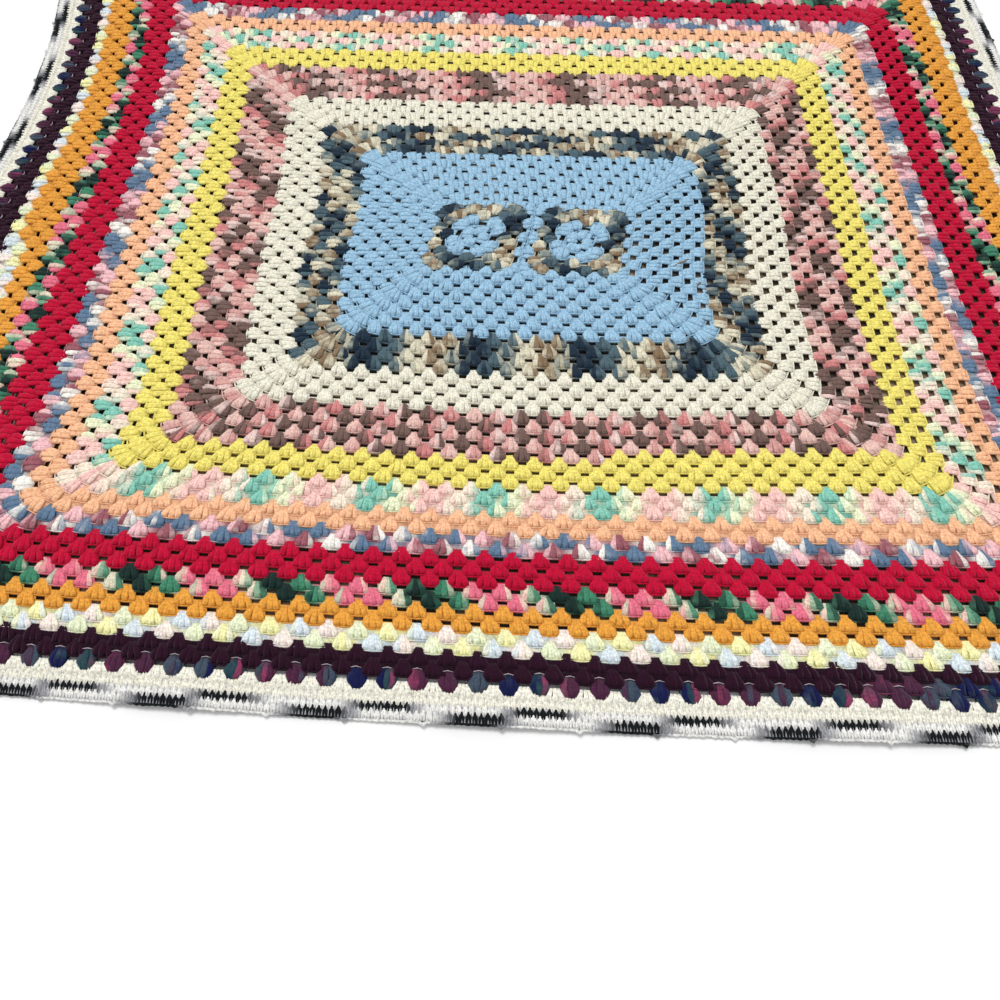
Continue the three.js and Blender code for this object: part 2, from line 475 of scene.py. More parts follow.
def make_piece(name, shape, material):
    """One mesh piece of a shape: points, arrays of faces, point colours and face corner coordinates."""
    points, faces, colours, strands = shape
    mesh = bpy.data.meshes.new(name)
    corners = np.concatenate([f.ravel() for f in faces]).astype(np.int32)
    sizes = np.concatenate([np.full(len(f), f.shape[1]) for f in faces])
    starts = np.concatenate([[0], np.cumsum(sizes)[:-1]]).astype(np.int32)
    mesh.vertices.add(len(points))
    mesh.vertices.foreach_set("co", points.astype(np.float32).ravel())
    mesh.loops.add(len(corners))
    mesh.loops.foreach_set("vertex_index", corners)
    mesh.polygons.add(len(sizes))
    mesh.polygons.foreach_set("loop_start", starts)
    mesh.polygons.foreach_set("use_smooth", np.ones(len(sizes), dtype=bool))
    paint = mesh.attributes.new("yarn", "FLOAT_COLOR", "POINT")
    rgba = np.ones((len(points), 4), dtype=np.float32)
    rgba[:, :3] = colours
    paint.data.foreach_set("color", rgba.ravel())
    layer = mesh.uv_layers.new(name="strand")
    layer.uv.foreach_set("vector", strands.astype(np.float32).ravel())
    mesh.update(calc_edges=True)
    mesh.validate()
    mesh.materials.append(material)
    piece = new_object(name, mesh)
    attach(piece, "root")
    return piece


LUMPS = 0.09  # how unevenly thick the yarn is, as a share of its radius
TWIST_PITCH = 5 * MM
TWIST_START = 7  # a strand's twist starts anywhere in this many turns


def strand_tubes(centres, across, up, colours, sides=5, twist_pitch=TWIST_PITCH):
    """Closed tubes of yarn on the flat cloth.

    centres is (tubes, stations, 3), across and up are radii that fit (tubes, stations), and colours is
    (tubes, stations, 3). Returns points, faces, point colours and face corner coordinates along and round
    the yarn.
    """
    count, stations = centres.shape[:2]
    flat = centres[..., :2]
    step = np.gradient(flat, axis=1)
    step /= np.linalg.norm(step, axis=-1, keepdims=True) + TINY
    side = np.stack([-step[..., 1], step[..., 0]], -1)
    across, up = fitted((count, stations), across, up)
    angle = math.pi / 2 + 2 * math.pi * np.arange(sides) / sides
    lumps = 1 + strays(LUMPS, count, stations, sides)
    points = np.empty((count, stations, sides, 3))
    aside = across[..., None] * lumps * np.cos(angle)
    points[..., :2] = flat[:, :, None] + side[:, :, None] * aside[..., None]
    points[..., 2] = centres[..., 2, None] + up[..., None] * lumps * np.sin(angle)

    index = np.arange(count * stations * sides).reshape(count, stations, sides)
    turn = np.roll(index, -1, axis=2)
    quads = np.stack([index[:, :-1], turn[:, :-1], turn[:, 1:], index[:, 1:]], -1).reshape(-1, 4)
    caps = np.concatenate([index[:, 0, ::-1], index[:, -1, :]])

    length = np.linalg.norm(np.diff(flat, axis=1), axis=-1)
    run = np.concatenate([np.zeros((count, 1)), np.cumsum(length, 1)], 1) / twist_pitch
    run = run + draw.random((count, 1)) * TWIST_START
    u, v = fitted((count, stations, sides), run[:, :, None], np.arange(sides) / sides)
    uv, uv_turn = np.stack([u, v], -1), np.stack([u, v + 1 / sides], -1)
    quad_uv = np.stack([uv[:, :-1], uv_turn[:, :-1], uv_turn[:, 1:], uv[:, 1:]], 3).reshape(-1, 2)
    cap_uv = np.concatenate([uv[:, 0, ::-1], uv[:, -1, :]]).reshape(-1, 2)

    painted = np.repeat(colours[:, :, None], sides, axis=2).reshape(-1, 3)
    return points.reshape(-1, 3), [quads, caps], painted, np.concatenate([quad_uv, cap_uv])


def joined(shapes, placed):
    """Several shapes as one, with their points placed on the cloth by the given function."""
    points = placed(np.concatenate([s[0] for s in shapes]))
    colours = np.concatenate([s[2] for s in shapes])
    faces, strands, base = [], [], 0
    for shape in shapes:
        faces += [f + base for f in shape[1]]
        strands.append(shape[3])
        base += len(shape[0])
    return points, faces, colours, np.concatenate(strands)


# ---- Rounds and their yarns ----

CORNER_LEAN = 0.48  # how far the clusters at a corner turn towards it, in radians
LEAN_KEPT = 0.3  # how much of a cluster's turn the next one away from the corner has
CORNER_STRETCH = 0.14  # how much further than the others they reach out

# The sides of a round, anticlockwise as the yarn runs: the direction out of the afghan and that of the yarn.
SIDES = [np.array([(x, y), (-y, x)], dtype=float) for x, y in ((0, -1), (1, 0), (0, 1), (-1, 0))]
NEAR, RIGHT, FAR, LEFT = range(4)
LONG_SIDES = (NEAR, FAR)


def side_frames(round_number, extra):
    """For each side of a round: its number, outward, along, how far out it is, its clusters, the first.

    extra is how many more clusters a long side has.
    """
    first = 0
    for side, (out, along) in enumerate(SIDES):
        long_side = side in LONG_SIDES
        count = round_number + (extra if long_side else 0)
        inner = (round_number + (0 if long_side else extra)) * HEIGHT
        yield side, out, along, inner, count, first
        first += count


def spaced(count, step):
    """Places along a side, a step apart and even about its middle."""
    return (np.arange(count) - (count - 1) / 2) * step


def rectangle(out, along, s0, s1, t0, t1):
    """The rectangle from s0 to s1 along a side and from t0 to t1 out, as low x, low y, high x, high y."""
    a = out * t0 + along * s0
    b = out * t1 + along * s1
    return np.concatenate([np.minimum(a, b), np.maximum(a, b)])


def gathered(rows):
    """Rows of arrays, a row for each side, as one array of each kind."""
    return [np.concatenate(arrays) for arrays in zip(*rows)]


def round_feet(round_number, extra):
    """The clusters of one round as arrays: side, foot on the inner edge, outward, along, lean to a corner."""
    rows = []
    for side, out, along, inner, count, _ in side_frames(round_number, extra):
        k = np.arange(count)
        lean = CORNER_LEAN * (LEAN_KEPT ** (count - 1 - k) - LEAN_KEPT**k)
        feet = out * inner + along * spaced(count, PITCH)[:, None]
        outs, alongs = fitted((count, 2), out, along)
        rows.append((np.full(count, side), feet, outs, alongs, lean))
    return gathered(rows)


def from_feet(feet, outs, alongs, s, t, z):
    """Points across, out from and above the foot of each stitch, all (stitches, ...), on the flat cloth."""
    each = (slice(None),) + (None,) * (t.ndim - 1)
    flat = feet[each] + outs[each] * t[..., None] + alongs[each] * s[..., None]
    return np.concatenate([flat, z[..., None]], -1)


def on_cloth(stitches, placed, width=1.0):
    """The clusters of one round on the flat cloth. Each keeps its shape, and those at a corner turn to it."""
    sides, feet, outs, _, leans = stitches
    foot = placed(feet)
    reach = (placed(feet + outs * HEIGHT) - foot) / HEIGHT
    length = np.linalg.norm(reach, axis=1, keepdims=True)
    out = reach / length
    along = np.stack([-out[:, 1], out[:, 0]], -1)
    cos, sin = np.cos(leans)[:, None], np.sin(leans)[:, None]
    length = length * (1 + CORNER_STRETCH * np.abs(leans[:, None]) / CORNER_LEAN)
    return sides, foot, (cos * out + sin * along) * length, (cos * along - sin * out) * width


def round_stretches(round_number):
    """The yarns of a rectangular round: yarn, its clusters' numbers, and where each stands along the yarn.

    Clusters are numbered anticlockwise from the near left corner. The round is begun at the near right one.
    """
    near_side = round_number + EXTRA_CLUSTERS
    total = 2 * (round_number + near_side)
    numbers = np.arange(total)
    made_before = (numbers - near_side) % total
    ends = [band[1:3] for band in BANDS[1:]] + [(LAST_ROUND + 1, 0)]
    stretches = []
    for (yarn, first, after, start, moved), (last, until) in zip(BANDS, ends):
        if not first <= round_number <= last:
            continue
        worked = np.ones(total, dtype=bool)
        if round_number == first:
            worked &= made_before >= after
        if round_number == last:
            worked &= made_before < until
        if worked.any():
            own = numbers[worked]
            wander = WANDER * np.sin(WANDER_STEP * own + WANDER_ROUND * round_number)
            wander = wander * (own >= near_side)
            stretches.append((yarn, own, start + (round_number - first) * moved + own + wander))
    return stretches


# ---- Clusters ----

# One cluster, in its own measures: across and out from its foot, and above the cloth's underside. Three posts
# rise side by side from a narrow foot in the round below to a broad top, and the next chain crosses them.
POST = np.array([-1.0, 0.0, 1.0])
# The cloth lies stretched unevenly, so each side (near, right, far, left) has its own posts. At four stations
# from the foot to the top: how far out they stand, in heights, and in millimetres how far apart they are, how
# wide, and how much further in the outer two stand.
POSTS = np.array(
    [
        [[-0.56, -0.05, 0.48, 0.92], [1.8, 3.4, 5.2, 6.1], [2.0, 2.5, 3.1, 3.1], [0, 0.2, 0.5, 0.6]],
        [[-0.2, 0.08, 0.5, 0.92], [4.2, 4.6, 5.4, 5.7], [2.4, 2.8, 3.2, 3.0], [0, 0, 0, 0.3]],
        [[-0.3, 0.0, 0.5, 0.92], [5.0, 5.2, 6.4, 7.6], [2.8, 3.1, 3.7, 3.9], [0, 0.1, 0.2, 0.4]],
        [[-0.42, -0.05, 0.45, 0.92], [2.9, 5.2, 6.4, 5.4], [2.6, 3.3, 3.9, 3.5], [0, 0.2, 0.8, 1.6]],
    ]
)
POST_OUT = POSTS[:, 0] * HEIGHT
POST_SPREAD, POST_ACROSS, SIDE_POST_SHORTER = [POSTS[:, i] * MM for i in (1, 2, 3)]
# Height of the stitches on each side, as a share of the near side's.
FLATTENED = np.array([1.0, 0.9, 0.62, 1.0])
POST_RISE = mm(3.4, 4.5, 5.2, 4.6)
POST_UP = mm(1.3, 1.8, 1.9, 1.6)
SIDE_POST_LOWER = 0.3 * MM
POST_STATIONS = len(POST_RISE)
CHAIN_ACROSS = mm(-12.8, -7.4, 0, 7.4, 12.8)
# The chain bows out: on each side, how far out its ends and the stations next to them lie.
CHAIN_BOW = [(0.88, 0.96), (0.97, 0.99), (0.96, 0.98), (0.84, 0.94)]
CHAIN_OUT = HEIGHT * np.array([(end, beside, 1.0, beside, end) for end, beside in CHAIN_BOW])
CHAIN_RISE = mm(3.3, 4.4, 4.9, 4.4, 3.3)
CHAIN_THICK = mm(1.2, 1.25, 1.3, 1.25, 1.2)
CHAIN_RUN = 0.66 * PITCH  # length of chain in which the yarn's colours move on by one cluster
# How far the clusters stray from their pattern: as a share in width, in height and place, and as a slant.
WIDTH_STRAY = 0.05
HEIGHT_STRAY = 0.2 * MM
PLACE_STRAY = 0.45 * MM
SLANT_STRAY = 0.05
POST_STRAY = 0.25 * MM
POST_RISE_STRAY = 0.18 * MM
CHAIN_COLOUR_STRAY = 0.1
# The last round's clusters hang clear of each other, and close to a point under the edging.
DROP_OUT = np.array([-0.62, -0.1, 0.55, 1.12]) * HEIGHT
DROP_SPREAD = mm(2.4, 4.4, 5.2, 1.8)
DROP_ACROSS = mm(1.8, 2.6, 2.9, 2.1)
# A pale strand lies across the head of each of them: painted light, where the bright floor shows through the
# slot of the round before.
PAINTED_LIGHT_SPREAD = mm(-4.2, 0.0, 4.2)
PAINTED_LIGHT_OUT = np.array([-0.6, -0.7, -0.6]) * HEIGHT
PAINTED_LIGHT_THICK = mm(0.5, 0.8, 0.5)
PAINTED_LIGHT_RISE = 5.6 * MM
PAINTED_LIGHT_COLOUR = linear("#c9bcc4")


def cluster_tubes(sides, feet, outs, alongs, places, yarn, drop=False, foot_from=-HEIGHT):
    """Posts and chain of every cluster as tubes. places is where each cluster stands along the yarn.

    A drop has a pale strand across its head in place of its chain: painted light where the floor shows
    through a slot. No post starts further in than foot_from.
    """
    count = len(feet)
    wide = 1 + strays(WIDTH_STRAY, count)
    tall = strays(HEIGHT_STRAY, count)
    slide = strays(PLACE_STRAY, count, 2)
    slant = strays(SLANT_STRAY, count)

    def placed(s, t, z):
        """Points across, out from and above the clusters' feet, where the clusters have strayed to."""
        each = (slice(None),) + (None,) * (s.ndim - 1)
        s = s * wide[each] + slant[each] * t + slide[:, 0][each]
        t = t + slide[:, 1][each]
        return from_feet(feet, outs, alongs, s, t, z * FLATTENED[sides][each] + tall[each])

    if drop:
        spread, reach, radius = fitted((count, POST_STATIONS), DROP_SPREAD, DROP_OUT, DROP_ACROSS)
    else:
        spread, radius = POST_SPREAD[sides], POST_ACROSS[sides]
        reach = np.maximum(POST_OUT[sides], foot_from)
    posts = len(POST)
    outer_post = np.abs(POST)[:, None]
    s = POST[:, None] * spread[:, None] + strays(POST_STRAY, count, posts, 1)
    t = reach[:, None] - SIDE_POST_SHORTER[sides][:, None] * outer_post
    z = np.broadcast_to(POST_RISE - SIDE_POST_LOWER * outer_post, (count, posts, POST_STATIONS))
    z = z + strays(POST_RISE_STRAY, count, posts, 1)
    stray = STRAY.get(yarn, PLAIN_STRAY)
    where = places[:, None, None] + POST[:, None] / posts + strays(stray, count, posts, 1)
    where = where + strays(stray / 2, count, posts, POST_STATIONS)
    colours = yarn_colour(yarn, where).reshape(count * posts, POST_STATIONS, 3)
    centres = placed(s, t, z).reshape(count * posts, POST_STATIONS, 3)
    post_tubes = strand_tubes(centres, np.repeat(radius, posts, axis=0), POST_UP, colours)
    if drop:
        # The pale strand over each drop's head is painted light.
        s, t = fitted((count, len(PAINTED_LIGHT_OUT)), PAINTED_LIGHT_SPREAD, PAINTED_LIGHT_OUT)
        loops = placed(s, t, np.full(s.shape, PAINTED_LIGHT_RISE))
        painted = np.broadcast_to(PAINTED_LIGHT_COLOUR, (*s.shape, 3))
        return [post_tubes, strand_tubes(loops, PAINTED_LIGHT_THICK, PAINTED_LIGHT_THICK, painted, sides=3)]

    s, z = fitted((count, len(CHAIN_RISE)), CHAIN_ACROSS, CHAIN_RISE)
    where = places[:, None] + CHAIN_ACROSS / CHAIN_RUN
    where = where + strays(CHAIN_COLOUR_STRAY, count, 1)
    on_chain = placed(s, CHAIN_OUT[sides], z)
    chain = strand_tubes(on_chain, CHAIN_THICK, CHAIN_THICK, yarn_colour(yarn, where), sides=3)
    return [post_tubes, chain]


# ---- Ground: the linked stitches under the clusters, one closed sheet with the cloth's holes ----

GROUND_LOW = 0.7 * MM
GROUND_HIGH = 3.6 * MM
RIDGE_HIGH = 4.3 * MM  # the ground rises to this along each round's outer edge
RIDGE_REACH = 0.38 * HEIGHT
SAME_PLACE = 0.1 * MM  # how far apart two measures of one place may be
CORNER_STEP = 0.02 * MM  # corners of two rectangles this close are one
GROUND_GRAIN = 5 * MM
# On each side, a round's clusters are linked from here out, and their feet reach this far to each side.
LINK_FROM = np.array([0.36, 0.66, 0.58, 0.50]) * HEIGHT
FOOT_HALF = np.array([0.33, 0.26, 0.27, 0.27]) * PITCH
# Rounds worked so tightly that nothing shows through, all round or on the near side alone.
CLOSED_ROUNDS = (34, 35, 43, 44, 45, 46)
CLOSED_ON_NEAR_SIDE = (30, 31, 32, 33)
# Painted shade: the ground under the clusters is coloured darker than its yarn, and darker still in the
# closed rounds.
GROUND_PAINTED_SHADE = 0.9  # colour of the ground, as a share of its yarn's
CLOSED_PAINTED_SHADE = 0.7  # the same in the closed rounds
# Painted shade: the underside and the foot of each wall of a ground sheet are coloured at this share of the
# top.
UNDERSIDE_PAINTED_SHADE = 0.5


def ridged(flat, extra):
    """Height of the ground's top at lattice points: a ridge along every round's outer edge."""
    ring = np.maximum(np.abs(flat[:, 1]), np.abs(flat[:, 0]) - extra * HEIGHT) / HEIGHT
    from_edge = np.abs(ring - np.round(ring)) * HEIGHT
    slope = np.clip(from_edge / RIDGE_REACH, 0, 1)
    far_side = flat[:, 1] >= ring * HEIGHT - SAME_PLACE
    return (RIDGE_HIGH + (GROUND_HIGH - RIDGE_HIGH) * slope) * np.where(far_side, FLATTENED[FAR], 1.0)


def sheet_from_rectangles(rectangles, colours, extra=None):
    """A closed sheet with these rectangles as its top and bottom. Its top is ridged if extra is given."""
    grid = np.array(rectangles)
    corner = grid[:, [[0, 1], [2, 1], [2, 3], [0, 3]]].reshape(-1, 2)
    keys = np.round(corner / CORNER_STEP).astype(np.int64)
    _, first, index = np.unique(keys, axis=0, return_index=True, return_inverse=True)
    index = index.reshape(-1, 4)
    flat = corner[first]
    paint = np.zeros((len(flat), 3))
    paint[index.ravel()] = np.repeat(np.array(colours), 4, axis=0)
    count = len(flat)
    low = np.column_stack([flat, np.full(count, GROUND_LOW)])
    high = np.column_stack([flat, np.full(count, GROUND_HIGH) if extra is None else ridged(flat, extra)])
    edges = np.stack([index, np.roll(index, -1, axis=1)], -1).reshape(-1, 2)
    key = edges[:, 0] * count + edges[:, 1]
    back = edges[:, 1] * count + edges[:, 0]
    rim = edges[~np.isin(key, back)]
    walls = np.stack([rim[:, 0], rim[:, 1], rim[:, 1] + count, rim[:, 0] + count], -1)
    faces = [index + count, index[:, ::-1], walls]
    points = np.concatenate([low, high])
    strands = np.concatenate([points[f.ravel()][:, :2] / GROUND_GRAIN for f in faces])
    # The bottom points, on the underside and at the foot of each wall, carry painted shade.
    return points, faces, np.concatenate([paint * UNDERSIDE_PAINTED_SHADE, paint]), strands


def round_ground(round_number, extra, paints, filled=True, closed=()):
    """Rectangles of one round's links and cluster feet on the lattice, and their colours.

    A round that isn't filled keeps a hole at each corner. A closed side has no holes between its clusters.
    """
    rectangles, colours = [], []
    for side, out, along, inner, count, first in side_frames(round_number, extra):

        def add(start, end, low, high, paint):
            """One rectangle of this side, from start to end along it."""
            rectangles.append(rectangle(out, along, start, end, low, high))
            colours.append(paint)

        linked, outer, half = inner + LINK_FROM[side], inner + HEIGHT, FOOT_HALF[side]
        for k, s in enumerate(spaced(count, PITCH)):
            paint = paints[first + k]
            add(s - half, s + half, inner, linked, paint)
            add(s - half, s + half, linked, outer, paint)
            if k < count - 1:
                add(s + half, s + PITCH - half, linked, outer, paint)
            if side in closed and k < count - 1:
                add(s + half, s + PITCH - half, inner, linked, paint)
        # The corners: the link runs on past the end clusters to the corner, and at one end round it.
        end = (count - 1) / 2 * PITCH + half
        limit = count * HEIGHT
        next_link, last_link = LINK_FROM[(side + 1) % len(SIDES)], LINK_FROM[side - 1]
        first_paint, last_paint = paints[first], paints[first + count - 1]
        for a, b, paint in ((-limit, -end, first_paint), (end, limit, last_paint)):
            add(a, b, linked, outer, paint)
            if filled:
                add(a, b, inner, linked, paint)
        add(limit, limit + next_link, linked, outer, last_paint)
        add(limit + next_link, limit + HEIGHT, linked, outer, last_paint)
        add(-limit - last_link, -limit, linked, outer, first_paint)
    return rectangles, colours


# ---- Build the rounds and the squares ----

MATERIALS = {name: yarn_material("yarn_" + name) for name in YARNS}
GROUND_MATERIAL = yarn_material("yarn_ground", dent_painted_shade=0.0)


def build_rounds():
    """The rectangular rounds: one piece of clusters for each band, over one ground."""
    band_tubes = {band[0]: [] for band in BANDS}
    rectangles, colours = [], []
    for n in range(SQUARE_ROUNDS + 1, LAST_ROUND + 1):
        stitches = on_cloth(round_feet(n, EXTRA_CLUSTERS), rounds_cloth)
        closed = range(len(SIDES)) if n in CLOSED_ROUNDS else [NEAR] if n in CLOSED_ON_NEAR_SIDE else []
        # Painted shade: the ground takes its yarn's colour, darkened, more so in closed rounds.
        shade = CLOSED_PAINTED_SHADE if closed else GROUND_PAINTED_SHADE
        paints = np.zeros((len(stitches[0]), 3))
        for yarn, own, places in round_stretches(n):
            worked = [a[own] for a in stitches]
            band_tubes[yarn] += cluster_tubes(*worked, places, yarn, drop=n == LAST_ROUND)
            paints[own] = yarn_colour(yarn, places) * shade
        made, paint = round_ground(n, EXTRA_CLUSTERS, paints, closed=closed)
        rectangles += made
        colours += paint
    pieces = []
    for yarn, first, *_ in BANDS:
        shape = joined(band_tubes[yarn], lay)
        pieces.append(make_piece(f"rounds_{first:02d}_{yarn}", shape, MATERIALS[yarn]))
    sheet = sheet_from_rectangles(rectangles, colours, EXTRA_CLUSTERS)
    shape = joined([sheet], lambda p: lay(rounds_cloth(p)))
    ground = make_piece("rounds_ground", shape, GROUND_MATERIAL)
    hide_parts("granny_rounds")
    return ground, pieces


# Width of each round's clusters in the squares and how far those at the corners turn, as shares of what the
# rectangular rounds have.
SQUARE_WIDTHS = [0.8, 0.95, 0.9, 0.95, 1.0]
SQUARE_LEAN = 0.6
# The clusters of the first rounds start no further in than this.
SHORT_ROUNDS = 2
SHORT_FOOT_FROM = -0.12 * HEIGHT


def build_square(side_name, side):
    """One granny square: its clusters over its ground."""
    tubes, rectangles, colours = [], [], []
    for n, (yarn, start_left, start_right) in enumerate(SQUARE_BANDS, 1):
        *feet, leans = round_feet(n, 0)
        leaning = (*feet, leans * SQUARE_LEAN)
        stitches = on_cloth(leaning, lambda p: square_cloth(p, side), SQUARE_WIDTHS[n - 1])
        places = (start_left if side < 0 else start_right) + np.arange(len(stitches[0]))
        # The inner rounds are worked tightly, with the left side's clusters all round.
        if n < SQUARE_ROUNDS:
            stitches[0][:] = LEFT
        foot_from = SHORT_FOOT_FROM if n <= SHORT_ROUNDS else -HEIGHT
        tubes += cluster_tubes(*stitches, places, yarn, foot_from=foot_from)
        # Only the first round has holes at its corners.
        # Painted shade: the square's ground takes its yarn's colour, darkened.
        made, paint = round_ground(n, 0, yarn_colour(yarn, places) * GROUND_PAINTED_SHADE, filled=n > 1)
        rectangles += made
        colours += paint
    shape = joined(tubes, lay)
    stitches = make_piece(f"square_{side_name}_clusters", shape, MATERIALS["blue"])
    sheet = sheet_from_rectangles(rectangles, colours, 0)
    shape = joined([sheet], lambda p: lay(square_cloth(p, side)))
    base = make_piece(f"square_{side_name}_ground", shape, GROUND_MATERIAL)
    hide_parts(f"square_{side_name}")
    return base, stitches


# One stitch of the seam: its three stations across the join, how far it slants, rises and strays.
SEAM_STEP = 10.5 * MM
SEAM_STATION = np.array([-1.0, 0.0, 1.0])
SEAM_ACROSS = 3.4 * MM * SEAM_STATION
SEAM_SLANT = 1.2 * MM * SEAM_STATION
SEAM_RISE = mm(3.6, 4.4, 3.6)
SEAM_THICK = mm(1.0, 1.4, 1.0)
SEAM_STRAY = 0.4 * MM


def build_seam():
    """The stitches that sew the two squares together, each a short strand over the join."""
    count = int(2 * SQUARE_HALF / SEAM_STEP)
    x, z = fitted((count, len(SEAM_STATION)), SEAM_ACROSS, SEAM_RISE)
    y = spaced(count, SEAM_STEP)[:, None] + SEAM_SLANT + strays(SEAM_STRAY, count, 1)
    colours = yarn_colour("blue", np.zeros(x.shape))
    tubes = strand_tubes(np.stack([x, y, z], -1), SEAM_THICK, SEAM_THICK, colours)
    return make_piece("seam_stitches", joined([tubes], lay), MATERIALS["blue"])


# Two ends of yarn, each with four stations from where it comes up to where it goes down.
END_X = np.array([[14.0, 14.5, 15.1, 15.7], [16.1, 16.2, 16.4, 16.7]]) * HEIGHT
END_Y = np.array([[-3.1, -2.7, -2.4, -1.9], [-5.6, -5.3, -5.1, -4.8]]) * HEIGHT
END_RISE = mm(4.6, 6.2, 6.4, 4.8)
END_THICK = mm(0.5, 0.9, 1.0, 0.5)
BROWN_PLACE = 3.95  # where the variegated yarn is brown


def build_yarn_ends():
    """The two ends of a brown yarn that come up through the blue rounds on the right."""
    centres = np.stack([END_X, END_Y, np.broadcast_to(END_RISE, END_X.shape)], -1)
    colours = yarn_colour("camo", np.full(END_X.shape, BROWN_PLACE))
    tubes = strand_tubes(centres, END_THICK, END_THICK, colours)
    return make_piece("yarn_ends", joined([tubes], lay), MATERIALS["camo"])


rounds_ground, band_pieces = build_rounds()
yarn_ends = build_yarn_ends()
squares = [build_square("left", -1), build_square("right", 1)]
seam = build_seam()

# ---- Edging ----

STITCH = 5.2 * MM
# The rows from the inside out: yarn, where the row starts, how deep it is, and where its colours stand.
EDGING_ROWS = [
    ("white", 1.5 * MM, 8.0 * MM, 0),
    ("white", 9.5 * MM, 8.0 * MM, 0),
    ("dashed", 17.5 * MM, 7.5 * MM, 0.6),
    ("dashed", 25.0 * MM, 7.0 * MM, 8.7),
]
DASH_BLEND = 0.9
DASH_STRAY = 0.2
# A stitch is two legs, each with three stations from the point where they meet.
LEG = np.array([-1.0, 1.0])
LEG_SPREAD = mm(0.2, 1.25, 1.4)
LEG_ACROSS = mm(0.6, 1.5, 1.6)
LEG_UP = mm(1.1, 1.8, 1.6)
LEG_RISE = mm(3.9, 3.5, 2.6)
LEG_MIDDLE = 0.8 * MM
LEG_STRAY = 0.15 * MM
LEG_TWIST = 4 * MM
TIP_REACH = 4.2 * MM  # how far a stitch's point reaches into the row inside it
TIP_STRAY = 0.4 * MM
ROW_GAP = 0.3 * MM
LEG_PLACE = 0.25  # how far a leg stands from its stitch along the yarn, in stitches


def last_round_reach(side):
    """How far out a side of the last round lies, and half its length."""
    return (ROUNDS_DEPTH, ROUNDS_WIDTH) if side in LONG_SIDES else (ROUNDS_WIDTH, ROUNDS_DEPTH)


def edging_feet(depth):
    """Stitch feet at a depth out from the last round, even on each side, with outward, along and number."""
    rows = []
    first = 0
    for side, (out, along) in enumerate(SIDES):
        inner, half = [reach + depth for reach in last_round_reach(side)]
        count = int(round(2 * half / STITCH))
        feet = out * inner + along * spaced(count, 2 * half / count)[:, None]
        outs, alongs = fitted((count, 2), out, along)
        rows.append((feet, outs, alongs, first + np.arange(count)))
        first += count
    return gathered(rows)


def edging_row(yarn, depth, height, start):
    """A row of close stitches, each two legs that spread outwards from a point in the row inside."""
    feet, outs, alongs, numbers = edging_feet(depth)
    count = len(feet)
    reach = np.array([-TIP_REACH, LEG_MIDDLE, height - ROW_GAP])
    t, z = fitted((count, 2, 3), reach, LEG_RISE)
    s = LEG[:, None] * LEG_SPREAD + strays(LEG_STRAY, count, 2, 1)
    t = t + strays(TIP_STRAY, count, 1, 1)
    z = z + strays(LEG_STRAY, count, 2, 1)
    centres = from_feet(feet, outs, alongs, s, t, z).reshape(count * 2, 3, 3)
    where = start + numbers[:, None, None] + LEG_PLACE * LEG[:, None]
    where = where + strays(DASH_STRAY, count, 1, 1)
    colours = yarn_colour(yarn, np.broadcast_to(where, (count, 2, 3)), DASH_BLEND).reshape(count * 2, 3, 3)
    return strand_tubes(centres, LEG_ACROSS, LEG_UP, colours, sides=4, twist_pitch=LEG_TWIST)


PEAK_SPREAD = mm(2.7, 4.2, 7.0)
PEAK_OUT = np.array([-0.62, -0.15, 0.45]) * HEIGHT
PEAK_RISE = mm(3.6, 4.0, 3.2)
PEAK_ACROSS = mm(1.5, 2.3, 2.8)
PEAK_UP = mm(1.3, 2.0, 1.9)
PEAK_STRAY = 0.2 * MM


def peaks():
    """Three long white stitches, on the lattice, worked into each gap between the last round's clusters."""
    tubes = []
    for _, out, along, inner, count, _ in side_frames(LAST_ROUND, EXTRA_CLUSTERS):
        gaps = count + 1
        feet = out * (inner + HEIGHT) + along * spaced(gaps, PITCH)[:, None]
        outs, alongs = fitted((gaps, 2), out, along)
        t, z = fitted((gaps, 3, 3), PEAK_OUT, PEAK_RISE)
        z = z + strays(PEAK_STRAY, gaps, 3, 1)
        centres = from_feet(feet, outs, alongs, POST[:, None] * PEAK_SPREAD, t, z).reshape(gaps * 3, 3, 3)
        colours = yarn_colour("white", np.zeros((gaps * 3, 3)))
        tubes.append(strand_tubes(centres, PEAK_ACROSS, PEAK_UP, colours))
    return tubes


EDGE_INSET = 1.6 * MM
EDGE_STATION = np.array([-0.62, 0.0, 0.62])
EDGE_RISE = mm(2.3, 2.7, 2.3)
EDGE_THICK = mm(1.3, 1.7, 1.3)
EDGE_STRAY = 0.2 * MM
EDGE_COLOUR_STEP = 0.4
# How far the middle of a chain stitch bulges out, and what a knot adds to that and to its thickness.
BULGE_MIDDLE = np.array([0.0, 1.0, 0.0])
EDGE_BULGE_MM, KNOT_BULGE_MM = 0.7, 2.4
KNOT_THICKER = 0.25
KNOT_EVERY, FIRST_KNOT = 12, 2


def edge_chain(start):
    """The chain along the outer edge, with a small raised knot every few stitches."""
    feet, outs, alongs, numbers = edging_feet(EDGING_DEPTH - EDGE_INSET)
    count = len(feet)
    knot = np.where(numbers % KNOT_EVERY == FIRST_KNOT, 1.0, 0.0)[:, None]
    bulge = BULGE_MIDDLE * (EDGE_BULGE_MM + KNOT_BULGE_MM * knot) * MM
    t = bulge + strays(EDGE_STRAY, count, 1)
    z = np.broadcast_to(EDGE_RISE, (count, 3))
    centres = from_feet(feet, outs, alongs, STITCH * EDGE_STATION, t, z)
    radius = EDGE_THICK * (1 + KNOT_THICKER * knot)
    where = start + numbers[:, None] + EDGE_COLOUR_STEP * EDGE_STATION
    return strand_tubes(centres, radius, radius, yarn_colour("dashed", where, DASH_BLEND), sides=4)


# Where the strips of the edging's backing meet, from the inside out.
BACKING_STEPS = mm(0, 15, 24, 31)
